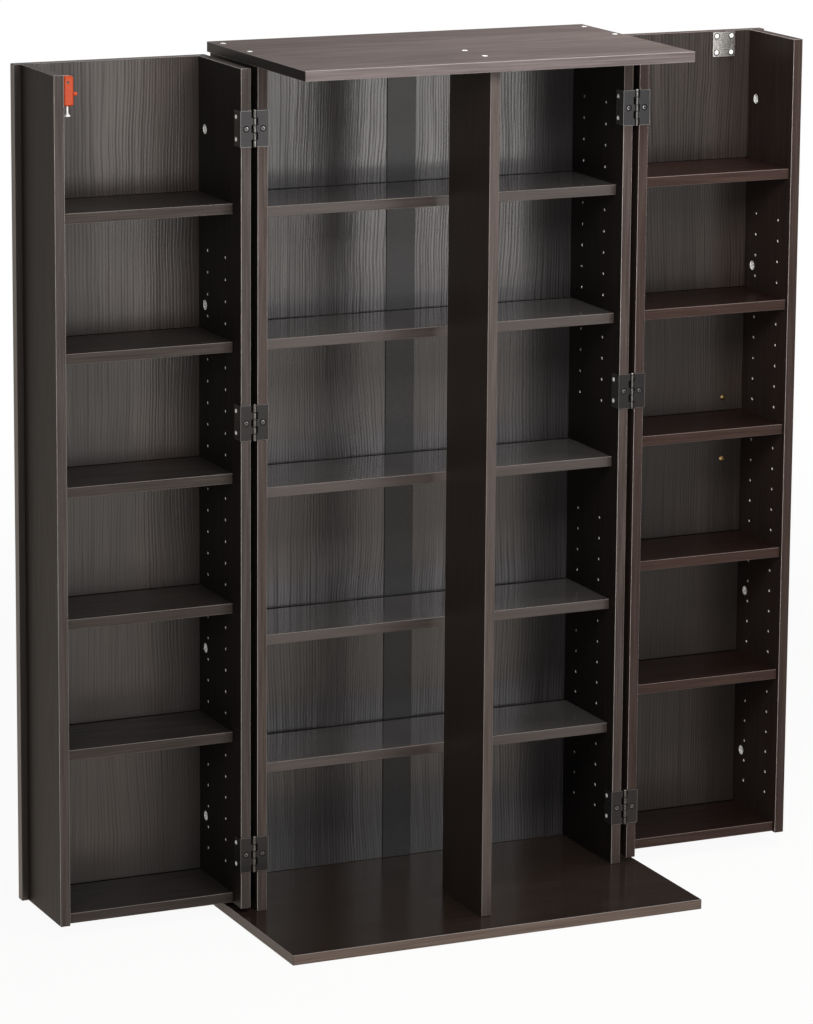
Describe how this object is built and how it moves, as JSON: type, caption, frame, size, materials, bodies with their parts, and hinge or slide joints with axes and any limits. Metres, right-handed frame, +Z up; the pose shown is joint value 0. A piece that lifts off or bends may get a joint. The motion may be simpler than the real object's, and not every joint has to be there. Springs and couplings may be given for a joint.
{
  "type": "media shelf",
  "caption": "Tall storage cabinet for discs, with pin-supported shelves inside and in two deep box doors on butt hinges.",
  "frame": {"origin": "middle of the base's underside, on the floor", "axes": "+Z up, -Y out of the cabinet's open front, +X to the right as seen from the front"},
  "size_m": [1.205, 0.4128, 1.27],
  "materials": {
    "board": "semi-gloss melamine with a dark vertical grain, lighter edge banding",
    "top": "semi-gloss melamine, grain along the width",
    "back": "embossed dark woodgrain",
    "strip": "plain dark satin",
    "hinge": "gunmetal satin",
    "steel": "bright zinc",
    "latch": "orange-red",
    "plate": "bright with a fine diamond pattern",
    "bronze": "dark bronze"
  },
  "bodies": {
    "cabinet": {"top_panel": "top", "base_panel": "board", "left_side": "board", "right_side": "board", "centre_post": "board", "back_panel_left": "back", "back_panel_right": "back", "back_joint_strip": "strip", "carcass_shelf_1": "board", "carcass_shelf_2": "board", "carcass_shelf_3": "board", "carcass_shelf_4": "board", "carcass_shelf_5": "board", "left_top_hinge_cabinet_leaf": "hinge", "left_top_hinge_pin": "hinge", "left_middle_hinge_cabinet_leaf": "hinge", "left_middle_hinge_pin": "hinge", "left_bottom_hinge_cabinet_leaf": "hinge", "left_bottom_hinge_pin": "hinge", "right_top_hinge_cabinet_leaf": "hinge", "right_top_hinge_pin": "hinge", "right_middle_hinge_cabinet_leaf": "hinge", "right_middle_hinge_pin": "hinge", "right_bottom_hinge_cabinet_leaf": "hinge", "right_bottom_hinge_pin": "hinge"},
    "left_door": {"left_door_panel": "board", "left_door_hinge_wall": "board", "left_door_free_wall": "board", "left_door_bottom": "board", "left_door_fixed_shelf": "board", "left_door_shelf_1": "board", "left_door_shelf_2": "board", "left_door_shelf_3": "board", "left_door_shelf_4": "board", "left_door_handle": "bronze", "left_top_hinge_door_leaf": "hinge", "left_middle_hinge_door_leaf": "hinge", "left_bottom_hinge_door_leaf": "hinge", "latch_body": "latch"},
    "right_door": {"right_door_panel": "board", "right_door_hinge_wall": "board", "right_door_free_wall": "board", "right_door_bottom": "board", "right_door_fixed_shelf": "board", "right_door_shelf_1": "board", "right_door_shelf_2": "board", "right_door_shelf_3": "board", "right_door_shelf_4": "board", "right_door_handle": "bronze", "right_top_hinge_door_leaf": "hinge", "right_middle_hinge_door_leaf": "hinge", "right_bottom_hinge_door_leaf": "hinge", "lock_case": "plate"},
    "latch_bolt": {"latch_bolt": "steel"},
    "lock_bolt": {"lock_bolt": "steel"},
    "lock_cylinder": {"lock_cylinder": "steel"}
  },
  "joints": [
    {"name": "left_door_swing", "type": "hinge", "parent": "cabinet", "child": "left_door", "pos_m": [-0.30225, 0.0108, 0], "axis": [0, 0, 1], "range_deg": [0, 180]},
    {"name": "right_door_swing", "type": "hinge", "parent": "cabinet", "child": "right_door", "pos_m": [0.30225, 0.0108, 0], "axis": [0, 0, -1], "range_deg": [0, 180]},
    {"name": "latch_bolt_slide", "type": "slide", "parent": "left_door", "child": "latch_bolt", "axis": [0, 0, 1], "range_m": [0, 0.01]},
    {"name": "lock_cylinder_turn", "type": "hinge", "parent": "right_door", "child": "lock_cylinder", "pos_m": [0.5323, 0.1885, 1.232], "axis": [0, 1, 0], "range_deg": [0, 90]},
    {"name": "lock_bolt_slide", "type": "slide", "parent": "right_door", "child": "lock_bolt", "axis": [0, 0, 1], "range_m": [0, 0.009]}
  ],
  "couplings": [
    {"joint": "lock_bolt_slide", "follows": "lock_cylinder_turn", "m_per_rad": 0.0057295}
  ]
}
